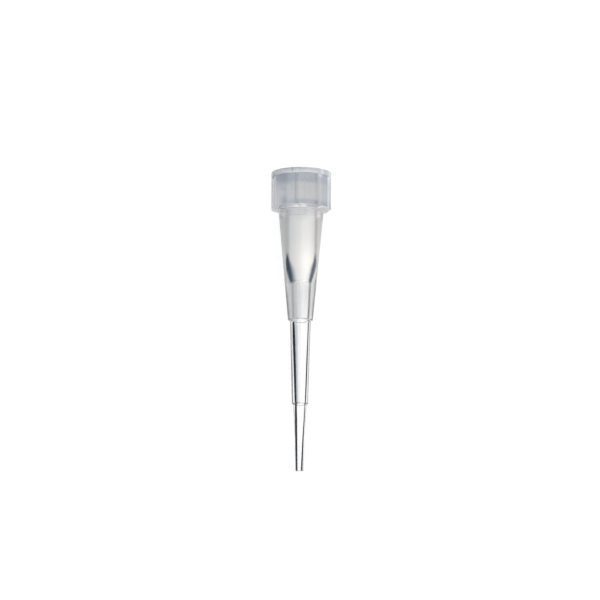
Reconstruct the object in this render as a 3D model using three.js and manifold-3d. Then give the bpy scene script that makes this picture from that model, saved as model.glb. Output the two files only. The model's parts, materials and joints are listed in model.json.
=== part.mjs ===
// Pipette tip of the 10 microlitre class, moulded in one piece from clear polypropylene.
// Millimetres, +Z up. It lies at rest on one flat of its collar and on its open point,
// with its mouth towards +Y. The origin is under the middle of its box, on the surface it lies on.

import * as THREE from 'three';
import { mergeVertices } from 'three/addons/utils/BufferGeometryUtils.js';
import Module from 'manifold-3d';

// ---- Driving dimensions ----

// Heights above the open point, and lengths down from the mouth.
const OVERALL_LENGTH = 34.0;
const POINT_EASE_HEIGHT = 3.6; // the point tapers gently below here and faster above
const POINT_TOP_HEIGHT = 7.55; // fine point up to here, stem above
const STEM_TOP_HEIGHT = 17.07; // stem up to here, body above
const COLLAR_HEIGHT = 4.23;
const BAND_HEIGHT = 0.61; // round band above the collar's flats
const MOUTH_DEPTH = 4.35; // mouth down to the ledge that the seat starts at
const SEAT_LENGTH = 5.1; // tapered seat that grips the pipette's nose
const FUNNEL_LENGTH = 3.25; // from the seat down to the liquid channel

// Collar.
const COLLAR_DIAMETER = 6.78;
const FLAT_COUNT = 8;
const FLAT_DEPTH = 0.19; // how far the middle of each flat lies inside the round band
const COLLAR_FOOT_CHAMFER = 0.06;

// Bore diameters, from the mouth down to the orifice.
const SEAT_TOP_BORE = 3.38;
const SEAT_FOOT_BORE = 3.26;
const MOUTH_CLEARANCE = 0.44; // mouth outside the top of the seat, all round
const CHANNEL_TOP_BORE = 1.9;
const CHANNEL_SHOULDER_BORE = 1.62; // level with the body's shoulder
const CHANNEL_STEP_BORE = 1.04; // level with the foot of the stem
const POINT_EASE_BORE = 0.73;
const ORIFICE_BORE = 0.5;

// Wall thicknesses, measured from the bore at the same height.
const BODY_TOP_WALL = 0.45; // outside the mouth, where the body leaves the collar
const BODY_FOOT_WALL = 0.58;
const STEM_TOP_WALL = 0.35;
const STEM_FOOT_WALL = 0.38;
const POINT_TOP_WALL = 0.22;
const POINT_EASE_WALL = 0.17;
const POINT_END_WALL = 0.19;

// Edges and the vent groove in the mouth's wall.
const MOUTH_LEAD_IN = 0.18;
const COLLAR_FILLET = 0.15; // under the collar, round the body
const SHOULDER_ROUND = 0.12;
const STEP_ROUND = 0.08;
const VENT_WIDTH = 0.4;
const VENT_DEPTH = 0.16;
const VENT_ANGLE = THREE.MathUtils.degToRad(29); // round the axis, from straight down towards +X

const FACETS_ROUND = 72;
const ARC_STEPS = 2; // each rounded edge is drawn with twice this many straight steps
const CUTTER_MARGIN = 1; // cutters reach this far past what they cut

// ---- Sizes that follow from them ----

const collarRadius = COLLAR_DIAMETER / 2;
const collarFoot = OVERALL_LENGTH - COLLAR_HEIGHT;
const bandFoot = OVERALL_LENGTH - BAND_HEIGHT;
const flatRadius = collarRadius - FLAT_DEPTH;
const mouthRadius = SEAT_TOP_BORE / 2 + MOUTH_CLEARANCE;
const ledgeHeight = OVERALL_LENGTH - MOUTH_DEPTH;
const seatFoot = ledgeHeight - SEAT_LENGTH;
const funnelFoot = seatFoot - FUNNEL_LENGTH;
const bodyTopRadius = mouthRadius + BODY_TOP_WALL;
const bodyFootRadius = CHANNEL_SHOULDER_BORE / 2 + BODY_FOOT_WALL;
const stemTopRadius = CHANNEL_SHOULDER_BORE / 2 + STEM_TOP_WALL;
const stemFootRadius = CHANNEL_STEP_BORE / 2 + STEM_FOOT_WALL;
const pointTopRadius = CHANNEL_STEP_BORE / 2 + POINT_TOP_WALL;
const pointEaseRadius = POINT_EASE_BORE / 2 + POINT_EASE_WALL;
const pointEndRadius = ORIFICE_BORE / 2 + POINT_END_WALL;

// ---- Turned form: the outline of the section, round the axis ----

// A corner of the outline, at a radius and a height, rounded off where a radius is given.
function corner(radius, height, round = 0) {
  return { at: new THREE.Vector2(radius, height), round };
}

const outline = [
  corner(ORIFICE_BORE / 2, 0),
  corner(pointEndRadius, 0),
  corner(pointEaseRadius, POINT_EASE_HEIGHT),
  corner(pointTopRadius, POINT_TOP_HEIGHT),
  corner(stemFootRadius, POINT_TOP_HEIGHT, STEP_ROUND),
  corner(stemTopRadius, STEM_TOP_HEIGHT),
  corner(bodyFootRadius, STEM_TOP_HEIGHT, SHOULDER_ROUND),
  corner(bodyTopRadius, collarFoot, COLLAR_FILLET),
  corner(collarRadius - COLLAR_FOOT_CHAMFER, collarFoot),
  corner(collarRadius, collarFoot + COLLAR_FOOT_CHAMFER),
  corner(collarRadius, OVERALL_LENGTH),
  corner(mouthRadius + MOUTH_LEAD_IN, OVERALL_LENGTH),
  corner(mouthRadius, OVERALL_LENGTH - MOUTH_LEAD_IN),
  corner(mouthRadius, ledgeHeight),
  corner(SEAT_TOP_BORE / 2, ledgeHeight),
  corner(SEAT_FOOT_BORE / 2, seatFoot),
  corner(CHANNEL_TOP_BORE / 2, funnelFoot),
  corner(CHANNEL_SHOULDER_BORE / 2, STEM_TOP_HEIGHT),
  corner(CHANNEL_STEP_BORE / 2, POINT_TOP_HEIGHT),
  corner(POINT_EASE_BORE / 2, POINT_EASE_HEIGHT),
];

// Runs the path up to a corner and round it, on an arc that touches both of its sides.
function addCorner(path, { at, round }, before, after) {
  if (round === 0) {
    path.lineTo(at.x, at.y);
    return;
  }
  const sideIn = before.clone().sub(at).normalize();
  const sideOut = after.clone().sub(at).normalize();
  const halfAngle = Math.acos(sideIn.dot(sideOut)) / 2;
  const reach = round / Math.tan(halfAngle);
  const start = at.clone().addScaledVector(sideIn, reach);
  const end = at.clone().addScaledVector(sideOut, reach);
  const inward = sideIn.clone().add(sideOut).normalize();
  const centre = at.clone().addScaledVector(inward, round / Math.sin(halfAngle));
  path.absarc(
    centre.x,
    centre.y,
    round,
    start.clone().sub(centre).angle(),
    end.clone().sub(centre).angle(),
    sideIn.cross(sideOut) > 0,
  );
}

function turnedForm(corners) {
  const path = new THREE.Path();
  path.moveTo(corners[0].at.x, corners[0].at.y);
  for (let i = 1; i < corners.length; i += 1) {
    addCorner(path, corners[i], corners[i - 1].at, corners[(i + 1) % corners.length].at);
  }
  path.closePath();
  return new THREE.LatheGeometry(path.getPoints(ARC_STEPS), FACETS_ROUND);
}

// ---- Cutters ----

// Stands a flat shape's extrusion along the tip's axis, from one height to another.
function alongAxis(shape, from, to) {
  const geometry = new THREE.ExtrudeGeometry(shape, {
    depth: to - from,
    bevelEnabled: false,
    curveSegments: FACETS_ROUND,
  });
  geometry.rotateX(-Math.PI / 2);
  geometry.translate(0, from, 0);
  return geometry;
}

// A ring with a polygonal hole: what it takes away leaves the collar's flats, one facing down.
function flatsCutter() {
  const ring = new THREE.Shape();
  ring.absarc(0, 0, collarRadius + CUTTER_MARGIN, 0, 2 * Math.PI);
  const hole = new THREE.Path();
  const cornerRadius = flatRadius / Math.cos(Math.PI / FLAT_COUNT);
  for (let i = 0; i < FLAT_COUNT; i += 1) {
    const angle = -Math.PI / 2 + ((i + 0.5) * 2 * Math.PI) / FLAT_COUNT;
    const x = cornerRadius * Math.cos(angle);
    const y = cornerRadius * Math.sin(angle);
    if (i === 0) {
      hole.moveTo(x, y);
    } else {
      hole.lineTo(x, y);
    }
  }
  hole.closePath();
  ring.holes.push(hole);
  return alongAxis(ring, collarFoot - CUTTER_MARGIN, bandFoot);
}

// A slot from the axis out into the mouth's wall, from the ledge up through the mouth.
function ventCutter() {
  const outer = mouthRadius + VENT_DEPTH;
  const slot = new THREE.Shape();
  slot.moveTo(-VENT_WIDTH / 2, 0);
  slot.lineTo(VENT_WIDTH / 2, 0);
  slot.lineTo(VENT_WIDTH / 2, outer);
  slot.lineTo(-VENT_WIDTH / 2, outer);
  slot.closePath();
  const geometry = alongAxis(slot, ledgeHeight, OVERALL_LENGTH + CUTTER_MARGIN);
  geometry.rotateY(Math.PI - VENT_ANGLE);
  return geometry;
}

// ---- Joining and cutting ----

const wasm = await Module();
wasm.setup();

function toSolid(geometry) {
  geometry.deleteAttribute('normal');
  geometry.deleteAttribute('uv');
  const merged = mergeVertices(geometry);
  return new wasm.Manifold(
    new wasm.Mesh({
      numProp: 3,
      vertProperties: new Float32Array(merged.attributes.position.array),
      triVerts: new Uint32Array(merged.index.array),
    }),
  );
}

function toGeometry(solid) {
  const mesh = solid.getMesh();
  const geometry = new THREE.BufferGeometry();
  geometry.setAttribute('position', new THREE.BufferAttribute(mesh.vertProperties, mesh.numProp));
  geometry.setIndex(new THREE.BufferAttribute(mesh.triVerts, 1));
  geometry.computeVertexNormals();
  return geometry;
}

// ---- The tip, laid at rest ----

const clearPolypropylene = new THREE.MeshStandardMaterial({
  name: 'clear_polypropylene',
  color: 0xdfe3e6,
  roughness: 0.35,
  metalness: 0,
  transparent: true,
  opacity: 0.55,
});

// The slope at which the line from the point's rim to an edge of the collar lies flat.
function slopeTo(edgeRadius, edgeHeight) {
  return Math.atan2(edgeRadius - pointEndRadius, edgeHeight);
}

const tipSolid = toSolid(turnedForm(outline)).subtract(toSolid(flatsCutter())).subtract(toSolid(ventCutter()));
const tip = new THREE.Mesh(toGeometry(tipSolid), clearPolypropylene);
tip.name = 'pipette_tip';
tip.rotation.x = Math.max(slopeTo(flatRadius, collarFoot), slopeTo(collarRadius, bandFoot));

const box = new THREE.Box3().setFromObject(tip, true);
tip.position.set(-(box.min.x + box.max.x) / 2, -(box.min.y + box.max.y) / 2, -box.min.z);

const part = new THREE.Group();
part.name = 'pipette_tip_part';
part.add(tip);

export default part;
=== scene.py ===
import json
import math

import bpy
from mathutils import Matrix, Vector


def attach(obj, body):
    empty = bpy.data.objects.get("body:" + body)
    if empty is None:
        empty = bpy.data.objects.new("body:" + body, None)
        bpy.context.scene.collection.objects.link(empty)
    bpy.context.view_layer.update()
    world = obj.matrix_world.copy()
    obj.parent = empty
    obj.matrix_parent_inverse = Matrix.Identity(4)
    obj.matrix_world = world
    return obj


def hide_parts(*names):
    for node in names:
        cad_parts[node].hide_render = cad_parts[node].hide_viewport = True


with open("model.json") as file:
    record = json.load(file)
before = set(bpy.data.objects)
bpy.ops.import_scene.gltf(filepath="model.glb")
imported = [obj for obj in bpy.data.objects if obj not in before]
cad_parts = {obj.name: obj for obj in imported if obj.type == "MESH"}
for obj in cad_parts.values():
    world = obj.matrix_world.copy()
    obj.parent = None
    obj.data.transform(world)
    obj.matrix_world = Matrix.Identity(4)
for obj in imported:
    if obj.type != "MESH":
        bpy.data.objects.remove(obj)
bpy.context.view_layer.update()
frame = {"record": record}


# ---------------------------------------------------------------------------
# The lie of the tip
# A free tip lies on one flat of its collar and on its open point. Its mouth
# is the higher end, and the mouth's ring faces along the tip's own axis.
# ---------------------------------------------------------------------------

OVERALL_LENGTH = 0.034

mouth_ring = next(m for m in frame["record"]["mounts"] if m["name"] == "mouth_rim")
axis = Vector(mouth_ring["axis"]).normalized()
across = Vector((1, 0, 0))
above = across.cross(axis)
ring_point = Vector(mouth_ring["pos_m"])
mouth_centre = ring_point - across * ring_point.dot(across)
open_point = mouth_centre - axis * OVERALL_LENGTH


# ---------------------------------------------------------------------------
# Camera
# A long lens looks down on the lying tip, from a little past its point and a
# little to its left, so that the collar's flats and its underside both show.
# ---------------------------------------------------------------------------

CAMERA_DISTANCE = 0.450
SENSOR_WIDTH = 36
VIEW_WIDTH = 0.0675
NEAREST_SEEN = 0.01
FARTHEST_SEEN = 10
PAST_THE_POINT = math.radians(10.6)
ROUND_TO_THE_LEFT = math.radians(13.8)
LEAN = math.radians(0.36)
AIM_BELOW_MOUTH = 0.01459
AIM_TO_THE_LEFT = 0.00006

over = above * math.cos(ROUND_TO_THE_LEFT) - across * math.sin(ROUND_TO_THE_LEFT)
towards_camera = over * math.cos(PAST_THE_POINT) - axis * math.sin(PAST_THE_POINT)
upright = Matrix.Rotation(LEAN, 3, towards_camera) @ axis
camera_right = upright.cross(towards_camera).normalized()
camera_up = towards_camera.cross(camera_right)
aim = mouth_centre - axis * AIM_BELOW_MOUTH - camera_right * AIM_TO_THE_LEFT

bpy.ops.object.camera_add()
camera = bpy.context.object
camera.name = "camera"
camera.data.sensor_width = SENSOR_WIDTH
camera.data.lens = SENSOR_WIDTH * CAMERA_DISTANCE / VIEW_WIDTH
camera.data.clip_start = NEAREST_SEEN
camera.data.clip_end = FARTHEST_SEEN
turn = Matrix((camera_right, camera_up, towards_camera)).transposed()
camera.matrix_world = Matrix.Translation(aim + towards_camera * CAMERA_DISTANCE) @ turn.to_4x4()
bpy.context.scene.camera = camera
bpy.context.scene.view_settings.view_transform = "Standard"


# ---------------------------------------------------------------------------
# Floor
# A plain white board, wider than any view of the tip. It looks white to the
# eye and through the plastic, and keeps the tip's soft shadow.
# ---------------------------------------------------------------------------

FLOOR_WIDTH = 1.2
FLOOR_COLOR = (0.95, 0.95, 0.95)
FLOOR_SHADING = 0.16
WHITE = (1.0, 1.0, 1.0)


def feed(socket, value):
    """Gives a socket a number, a colour, or what another socket puts out."""
    if isinstance(value, bpy.types.NodeSocket):
        socket.id_data.links.new(value, socket)
    elif isinstance(value, tuple):
        socket.default_value = (*value, 1)
    else:
        socket.default_value = value


def tree_of(*values):
    """The node tree of the first socket among the values."""
    return next(value.id_data for value in values if isinstance(value, bpy.types.NodeSocket))


def calculated(operation, first, second=0.0):
    """A Math node on two sockets, or on a socket and a number."""
    node = tree_of(first, second).nodes.new("ShaderNodeMath")
    node.operation = operation
    feed(node.inputs[0], first)
    feed(node.inputs[1], second)
    return node.outputs[0]


def coloured(tree, kind, color):
    """A new shader of that kind and colour."""
    shader = tree.nodes.new(kind)
    feed(shader.inputs["Color"], color)
    return shader.outputs[0]


def mixed(share, first, second):
    """A shader mixed from two, by the share of the second."""
    mix = first.id_data.nodes.new("ShaderNodeMixShader")
    feed(mix.inputs["Fac"], share)
    feed(mix.inputs[1], first)
    feed(mix.inputs[2], second)
    return mix.outputs[0]


def sees_background(tree):
    """One where the eye, a reflection or a look through plastic meets the surface."""
    rays = tree.nodes.new("ShaderNodeLightPath").outputs
    either = calculated("MAXIMUM", rays["Is Camera Ray"], rays["Is Glossy Ray"])
    return calculated("MAXIMUM", either, rays["Is Transmission Ray"])


bpy.ops.mesh.primitive_plane_add(size=FLOOR_WIDTH)
floor = bpy.context.object
floor.name = "floor"
board = bpy.data.materials.new("white_board")
board.use_nodes = True
board.node_tree.nodes.clear()
lit = coloured(board.node_tree, "ShaderNodeBsdfDiffuse", FLOOR_COLOR)
white = coloured(board.node_tree, "ShaderNodeEmission", WHITE)
white_share = calculated("MULTIPLY", sees_background(board.node_tree), 1 - FLOOR_SHADING)
surface = board.node_tree.nodes.new("ShaderNodeOutputMaterial")
feed(surface.inputs["Surface"], mixed(white_share, lit, white))
floor.data.materials.append(board)


# ---------------------------------------------------------------------------
# Studio light
# An even pale room, a wide soft lamp high on the right, a fainter one on the
# left, and a small one high beyond the point.
# ---------------------------------------------------------------------------

ROOM_STRENGTH = 0.75
ROOM_COLOR = (0.97, 0.98, 1.0)


def soft_lamp(name, width, place, power, tint):
    """A square lamp that faces the tip."""
    bpy.ops.object.light_add(type="AREA", location=place)
    lamp = bpy.context.object
    lamp.name = name
    lamp.data.shape = "SQUARE"
    lamp.data.size = width
    lamp.data.energy = power
    lamp.data.color = tint
    lamp.rotation_mode = "QUATERNION"
    lamp.rotation_quaternion = Vector(place).to_track_quat("Z", "Y")


soft_lamp("right_lamp", width=0.5, place=(0.16, -0.12, 0.51), power=1.6, tint=(1.0, 0.985, 0.96))
soft_lamp("left_lamp", width=0.4, place=(-0.40, -0.10, 0.30), power=0.5, tint=(0.93, 0.96, 1.0))
soft_lamp("low_lamp", width=0.12, place=(0.01, -0.38, 0.32), power=0.4, tint=WHITE)

room = bpy.data.worlds.new("room")
room.use_nodes = True
room.node_tree.nodes.clear()
pale_room = coloured(room.node_tree, "ShaderNodeBackground", ROOM_COLOR)
feed(pale_room.node.inputs["Strength"], ROOM_STRENGTH)
white_room = coloured(room.node_tree, "ShaderNodeBackground", WHITE)
air = room.node_tree.nodes.new("ShaderNodeOutputWorld")
feed(air.inputs["Surface"], mixed(sees_background(room.node_tree), pale_room, white_room))
bpy.context.scene.world = room


# ---------------------------------------------------------------------------
# The moulded tip
# One injection moulding of clear polypropylene: collar, tapered body, stem
# and fine point, with the bore that runs through them. It is turned from
# rings pulled along its axis, and the collar's flats are then cut.
# ---------------------------------------------------------------------------

RING_POINTS = 192

# Heights above the open point.
POINT_EASE_HEIGHT = 0.0036
POINT_TOP_HEIGHT = 0.00755
STEM_TOP_HEIGHT = 0.01707
COLLAR_FOOT_HEIGHT = OVERALL_LENGTH - 0.00423
BAND_FOOT_HEIGHT = OVERALL_LENGTH - 0.00061
LEDGE_HEIGHT = OVERALL_LENGTH - 0.00435
SEAT_FOOT_HEIGHT = LEDGE_HEIGHT - 0.0051
FUNNEL_FOOT_HEIGHT = SEAT_FOOT_HEIGHT - 0.00325

# Radii, outside from the point up and in the bore from the mouth down.
POINT_END_RADIUS = 0.00044
POINT_EASE_RADIUS = 0.000535
POINT_TOP_RADIUS = 0.00074
STEM_FOOT_RADIUS = 0.00090
STEM_TOP_RADIUS = 0.00116
BODY_FOOT_RADIUS = 0.00139
BODY_TOP_RADIUS = 0.00258
COLLAR_RADIUS = 0.00339
FLAT_RADIUS = 0.0032
MOUTH_RADIUS = 0.00213
SEAT_TOP_RADIUS = 0.00169
SEAT_FOOT_RADIUS = 0.00163
CHANNEL_TOP_RADIUS = 0.00095
CHANNEL_SHOULDER_RADIUS = 0.00081
CHANNEL_STEP_RADIUS = 0.00052
CHANNEL_EASE_RADIUS = 0.000365
ORIFICE_RADIUS = 0.00025

# The slanted edges at the collar's foot and in the mouth.
FOOT_CHAMFER = 0.00006
MOUTH_LEAD_IN = 0.00018

# The section's corners in turn, each a radius and a height.
OUTSIDE = (
    (POINT_EASE_RADIUS, POINT_EASE_HEIGHT),
    (POINT_TOP_RADIUS, POINT_TOP_HEIGHT),
    (STEM_FOOT_RADIUS, POINT_TOP_HEIGHT),
    (STEM_TOP_RADIUS, STEM_TOP_HEIGHT),
    (BODY_FOOT_RADIUS, STEM_TOP_HEIGHT),
    (BODY_TOP_RADIUS, COLLAR_FOOT_HEIGHT),
    (COLLAR_RADIUS - FOOT_CHAMFER, COLLAR_FOOT_HEIGHT),
    (COLLAR_RADIUS, COLLAR_FOOT_HEIGHT + FOOT_CHAMFER),
    (COLLAR_RADIUS, OVERALL_LENGTH),
)
BORE = (
    (MOUTH_RADIUS + MOUTH_LEAD_IN, OVERALL_LENGTH),
    (MOUTH_RADIUS, OVERALL_LENGTH - MOUTH_LEAD_IN),
    (MOUTH_RADIUS, LEDGE_HEIGHT),
    (SEAT_TOP_RADIUS, LEDGE_HEIGHT),
    (SEAT_FOOT_RADIUS, SEAT_FOOT_HEIGHT),
    (CHANNEL_TOP_RADIUS, FUNNEL_FOOT_HEIGHT),
    (CHANNEL_SHOULDER_RADIUS, STEM_TOP_HEIGHT),
    (CHANNEL_STEP_RADIUS, POINT_TOP_HEIGHT),
    (CHANNEL_EASE_RADIUS, POINT_EASE_HEIGHT),
    (ORIFICE_RADIUS, 0),
    (POINT_END_RADIUS, 0),
)
SAME_PLACE = 1e-7


def pull_ring(old, new):
    """Pulls the selected ring of points from one corner of the section to the next."""
    bpy.ops.mesh.extrude_region_move(TRANSFORM_OT_translate={"value": (0, 0, new[1] - old[1])})
    size = new[0] / old[0]
    bpy.ops.transform.resize(value=(size, size, 1), center_override=(0, 0, new[1]))


bpy.ops.object.select_all(action="DESELECT")
bpy.ops.mesh.primitive_circle_add(vertices=RING_POINTS, radius=POINT_END_RADIUS)
tip = bpy.context.object
tip.name = "moulded_tip"
bpy.ops.object.mode_set(mode="EDIT")
last = (POINT_END_RADIUS, 0)
for place in OUTSIDE + BORE:
    pull_ring(last, place)
    last = place
bpy.ops.mesh.select_all(action="SELECT")
bpy.ops.mesh.remove_doubles(threshold=SAME_PLACE)
bpy.ops.mesh.normals_make_consistent(inside=False)
bpy.ops.object.mode_set(mode="OBJECT")

# Each rounded edge is given by its radius and height, the size of its round, and its steps.
FOOT_FILLET = 0.00015
ROUNDED = (
    (POINT_END_RADIUS, 0, 0.00003, 4),
    (POINT_TOP_RADIUS, POINT_TOP_HEIGHT, 0.00004, 4),
    (STEM_FOOT_RADIUS, POINT_TOP_HEIGHT, 0.00008, 6),
    (STEM_TOP_RADIUS, STEM_TOP_HEIGHT, 0.00005, 4),
    (BODY_FOOT_RADIUS, STEM_TOP_HEIGHT, 0.00012, 6),
    (BODY_TOP_RADIUS, COLLAR_FOOT_HEIGHT, FOOT_FILLET, 6),
    (COLLAR_RADIUS, OVERALL_LENGTH, 0.00006, 4),
    (SEAT_TOP_RADIUS, LEDGE_HEIGHT, 0.00005, 4),
    (SEAT_FOOT_RADIUS, SEAT_FOOT_HEIGHT, 0.0008, 12),
    (CHANNEL_TOP_RADIUS, FUNNEL_FOOT_HEIGHT, 0.00016, 6),
)
RING_REACH = 2e-6


def near_ring(vertex, radius, height):
    """Whether a point of the mesh lies on the ring of that radius and height."""
    off_radius = abs(math.hypot(vertex.co.x, vertex.co.y) - radius)
    return off_radius < RING_REACH and abs(vertex.co.z - height) < RING_REACH


def round_ring(body, radius, height, size, steps):
    """Rounds off the edge that runs round the body at that radius and height."""
    bpy.ops.object.mode_set(mode="EDIT")
    bpy.ops.mesh.select_all(action="DESELECT")
    bpy.ops.object.mode_set(mode="OBJECT")
    points = body.data.vertices
    for edge in body.data.edges:
        edge.select = all(near_ring(points[i], radius, height) for i in edge.vertices)
    bpy.ops.object.mode_set(mode="EDIT")
    bpy.ops.mesh.select_mode(type="EDGE")
    bpy.ops.mesh.bevel(offset=size, offset_type="OFFSET", segments=steps, affect="EDGES")
    bpy.ops.object.mode_set(mode="OBJECT")


for ring in ROUNDED:
    round_ring(tip, *ring)

# The eight flats are cut from the collar's foot up to the round band.
FLAT_COUNT = 8
CUTTER_MARGIN = 0.001

bpy.ops.object.select_all(action="DESELECT")
cutter_foot = COLLAR_FOOT_HEIGHT - CUTTER_MARGIN
cutter_height = BAND_FOOT_HEIGHT - cutter_foot
bpy.ops.mesh.primitive_cylinder_add(
    vertices=FLAT_COUNT,
    radius=FLAT_RADIUS / math.cos(math.pi / FLAT_COUNT),
    depth=cutter_height,
    end_fill_type="NOTHING",
    location=(0, 0, cutter_foot + cutter_height / 2),
    rotation=(0, 0, math.pi / FLAT_COUNT),
)
cutter = bpy.context.object
cutter.name = "flats_cutter"
wall = cutter.modifiers.new("wall", "SOLIDIFY")
wall.thickness = CUTTER_MARGIN
wall.offset = 1
bpy.ops.object.modifier_apply(modifier=wall.name)


def cut_with(body, tool):
    """Cuts the tool's shape out of the body, and takes the tool away."""
    bpy.ops.object.select_all(action="DESELECT")
    bpy.context.view_layer.objects.active = body
    body.select_set(True)
    cut = body.modifiers.new("cut", "BOOLEAN")
    cut.operation = "DIFFERENCE"
    cut.solver = "EXACT"
    cut.object = tool
    bpy.ops.object.modifier_apply(modifier=cut.name)
    bpy.data.objects.remove(tool)


cut_with(tip, cutter)

# A shallow vent groove runs up the mouth's wall, from the ledge to the ring.
VENT_WIDTH = 0.0004
VENT_DEPTH = 0.00016
VENT_ANGLE = math.radians(29)

vent_length = OVERALL_LENGTH - LEDGE_HEIGHT + CUTTER_MARGIN
vent_reach = MOUTH_RADIUS + VENT_DEPTH - SEAT_TOP_RADIUS
vent_centre = Matrix.Rotation(-VENT_ANGLE, 3, "Z") @ Vector((0, SEAT_TOP_RADIUS + vent_reach / 2, 0))
bpy.ops.mesh.primitive_cube_add(
    size=1,
    location=(vent_centre.x, vent_centre.y, LEDGE_HEIGHT + vent_length / 2),
    rotation=(0, 0, -VENT_ANGLE),
    scale=(VENT_WIDTH, vent_reach, vent_length),
)
slot_cutter = bpy.context.object
slot_cutter.name = "vent_cutter"
cut_with(tip, slot_cutter)

# The finished tip is laid down: its own axis, upright so far, goes to the lie.
SMOOTH_UP_TO = math.radians(12)

lie = Matrix((across, -above, axis)).transposed().to_4x4()
tip.matrix_world = Matrix.Translation(open_point) @ lie
bpy.ops.object.transform_apply(location=True, rotation=True, scale=True)
bpy.ops.object.shade_smooth_by_angle(angle=SMOOTH_UP_TO)

# The plastic shows how it was moulded. It is cloudy where the mould was matte and faintly streaked along
# the flow, and each corner between two flats is a narrow round land. Painted shade and cooler painted
# light are laid towards its left.
LAND_HALF_WIDTH = COLLAR_RADIUS * (math.pi / FLAT_COUNT - math.acos(FLAT_RADIUS / COLLAR_RADIUS))
CORNER_LINE_WIDTH = 0.00006
CORNER_LINE_SHIFT = 0.65  # off the corner, as a share of the land's half width
VENT_LINE_WIDTH = 0.000096
STREAK_DRAW = 0.04  # a streak's width, as a share of its length
LEFT_FADES_OUT = 0.45  # the left fades out this far past the middle, as a share of the radius
NOISE_MIDDLE = 0.5
CLOUD_DETAIL = 3
STREAK_DETAIL = 2


def product(*shares):
    """The shares multiplied together."""
    result = shares[0]
    for share in shares[1:]:
        result = calculated("MULTIPLY", result, share)
    return result


def share_between(value, none_at, all_at):
    """Nought where the value is none_at, one where it is all_at, and a smooth run between them."""
    ramp = value.id_data.nodes.new("ShaderNodeMapRange")
    ramp.interpolation_type = "SMOOTHSTEP"
    feed(ramp.inputs["Value"], value)
    feed(ramp.inputs["From Min"], none_at)
    feed(ramp.inputs["From Max"], all_at)
    return ramp.outputs["Result"]


def near(value, middle, none_at, all_at):
    """Nought where the value is none_at away from the middle, one where it is all_at away."""
    away = calculated("ABSOLUTE", calculated("SUBTRACT", value, middle))
    return share_between(away, none_at, all_at)


def noise(place, scale, amount, detail):
    """A noise pattern about nought, to add or take away that amount."""
    pattern = place.id_data.nodes.new("ShaderNodeTexNoise")
    feed(pattern.inputs["Vector"], place)
    feed(pattern.inputs["Scale"], scale)
    feed(pattern.inputs["Detail"], detail)
    return product(calculated("SUBTRACT", pattern.outputs["Fac"], NOISE_MIDDLE), amount)


ASKED = ("Cloud Scale", "Cloud Amount", "Streak Scale", "Streak Amount")
SHOWN = ("Height", "Rightness", "Upness", "Left", "Clouding", "Corner Line", "Corner Land", "Vent Edge")


def build_wall_marks():
    """What every finish asks for: where on the tip a place is, and how cloudy the wall is there."""
    group = bpy.data.node_groups.new("wall_marks", "ShaderNodeTree")
    for in_out, names in (("INPUT", ASKED), ("OUTPUT", SHOWN)):
        for name in names:
            group.interface.new_socket(name, in_out=in_out, socket_type="NodeSocketFloat")
    asked = group.nodes.new("NodeGroupInput").outputs
    shown = group.nodes.new("NodeGroupOutput").inputs

    # The tip's own axes: height along its axis, and side and depth across it.
    place = group.nodes.new("ShaderNodeTexCoord")
    upright_tip = group.nodes.new("ShaderNodeMapping")
    lean_back = math.pi / 2 - math.atan2(axis.z, axis.y)
    upright_tip.inputs["Rotation"].default_value = (lean_back, 0, 0)
    upright_tip.inputs["Location"].default_value = -(Matrix.Rotation(lean_back, 3, "X") @ open_point)
    feed(upright_tip.inputs["Vector"], place.outputs["Object"])
    parts = group.nodes.new("ShaderNodeSeparateXYZ")
    feed(parts.inputs["Vector"], upright_tip.outputs["Vector"])
    side, depth, height = parts.outputs
    feed(shown["Height"], height)

    # Rightness runs from -1 at the left side to 1 at the right, and upness from -1 underneath to 1 on top.
    angle = calculated("ARCTAN2", depth, side)
    rightness = calculated("COSINE", angle)
    feed(shown["Rightness"], rightness)
    feed(shown["Upness"], calculated("SINE", product(angle, -1)))
    feed(shown["Left"], share_between(rightness, LEFT_FADES_OUT, -LEFT_FADES_OUT))

    # The lands between the flats, with a line on each, and the two edges of the vent groove.
    flats_round = calculated("DIVIDE", angle, 2 * math.pi / FLAT_COUNT)
    past_corner = calculated("SUBTRACT", calculated("FRACT", flats_round), 0.5)
    along_rim = product(past_corner, COLLAR_RADIUS * 2 * math.pi / FLAT_COUNT)
    land_edge = LAND_HALF_WIDTH + CORNER_LINE_WIDTH / 2
    feed(shown["Corner Land"], near(along_rim, 0, land_edge, LAND_HALF_WIDTH))
    line_place = -LAND_HALF_WIDTH * CORNER_LINE_SHIFT
    feed(shown["Corner Line"], near(along_rim, line_place, CORNER_LINE_WIDTH, CORNER_LINE_WIDTH / 4))
    from_vent = calculated("ABSOLUTE", calculated("SUBTRACT", angle, math.pi / 2 - VENT_ANGLE))
    along_wall = product(from_vent, MOUTH_RADIUS)
    feed(shown["Vent Edge"], near(along_wall, VENT_WIDTH / 2, VENT_LINE_WIDTH, VENT_LINE_WIDTH / 2))

    # Clouds, and streaks that are drawn out along the tip.
    drawn_out = group.nodes.new("ShaderNodeMapping")
    drawn_out.inputs["Scale"].default_value = (1, 1, STREAK_DRAW)
    feed(drawn_out.inputs["Vector"], upright_tip.outputs["Vector"])
    upright_place = upright_tip.outputs["Vector"]
    drawn_place = drawn_out.outputs["Vector"]
    cloudy = noise(upright_place, asked["Cloud Scale"], asked["Cloud Amount"], CLOUD_DETAIL)
    streaky = noise(drawn_place, asked["Streak Scale"], asked["Streak Amount"], STREAK_DETAIL)
    feed(shown["Clouding"], calculated("ADD", calculated("ADD", cloudy, streaky), 1))
    return group


wall_marks = build_wall_marks()


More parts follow.
